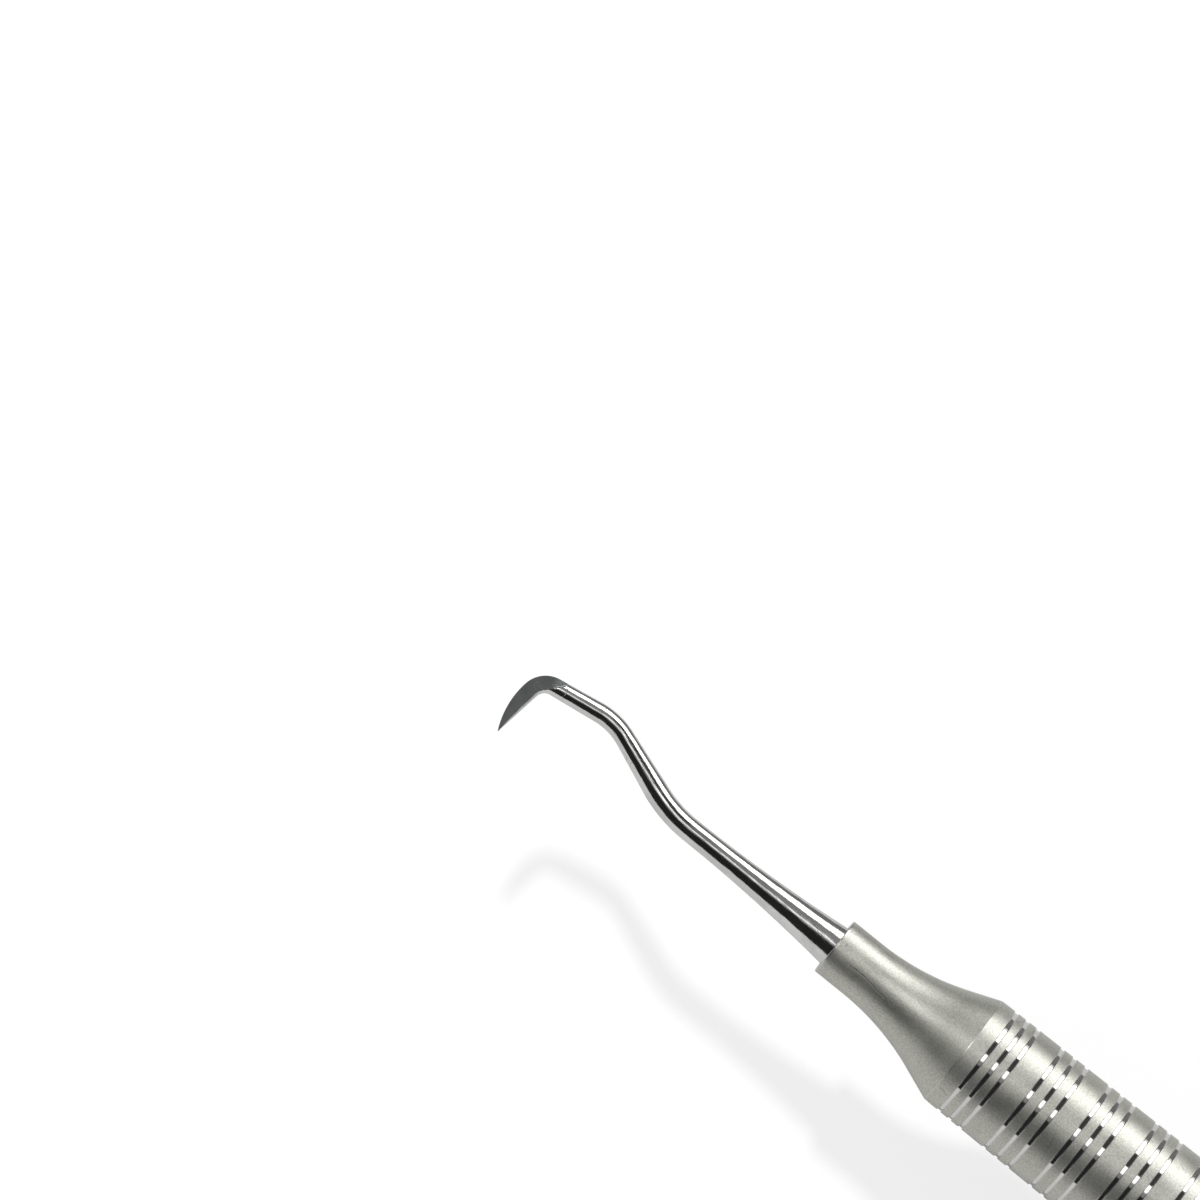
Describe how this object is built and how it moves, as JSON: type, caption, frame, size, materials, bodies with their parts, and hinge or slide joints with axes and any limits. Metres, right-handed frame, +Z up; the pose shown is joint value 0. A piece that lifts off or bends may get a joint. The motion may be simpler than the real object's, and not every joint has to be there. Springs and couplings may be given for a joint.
{
  "type": "dental scaler",
  "caption": "Double-ended dental scaler: hollow round handle with ring grooves, flared socket cones and bent polished shanks with sickle blades.",
  "frame": {"origin": "under the middle of the handle, on the surface that the instrument lies on", "axes": "+X along the handle towards the rear working end, +Z up, +Y towards the side that the rear tip points to"},
  "size_m": [0.177, 0.01, 0.01],
  "materials": {
    "satin_handle": "bead-blasted satin stainless steel, with bright turned ring grooves",
    "polished_tip": "polished stainless steel, with fine ground blade flanks"
  },
  "bodies": {
    "root": {"handle_tube": "satin_handle", "front_cone": "satin_handle", "rear_cone": "satin_handle", "front_working_end": "polished_tip", "rear_working_end": "polished_tip"}
  },
  "joints": []
}
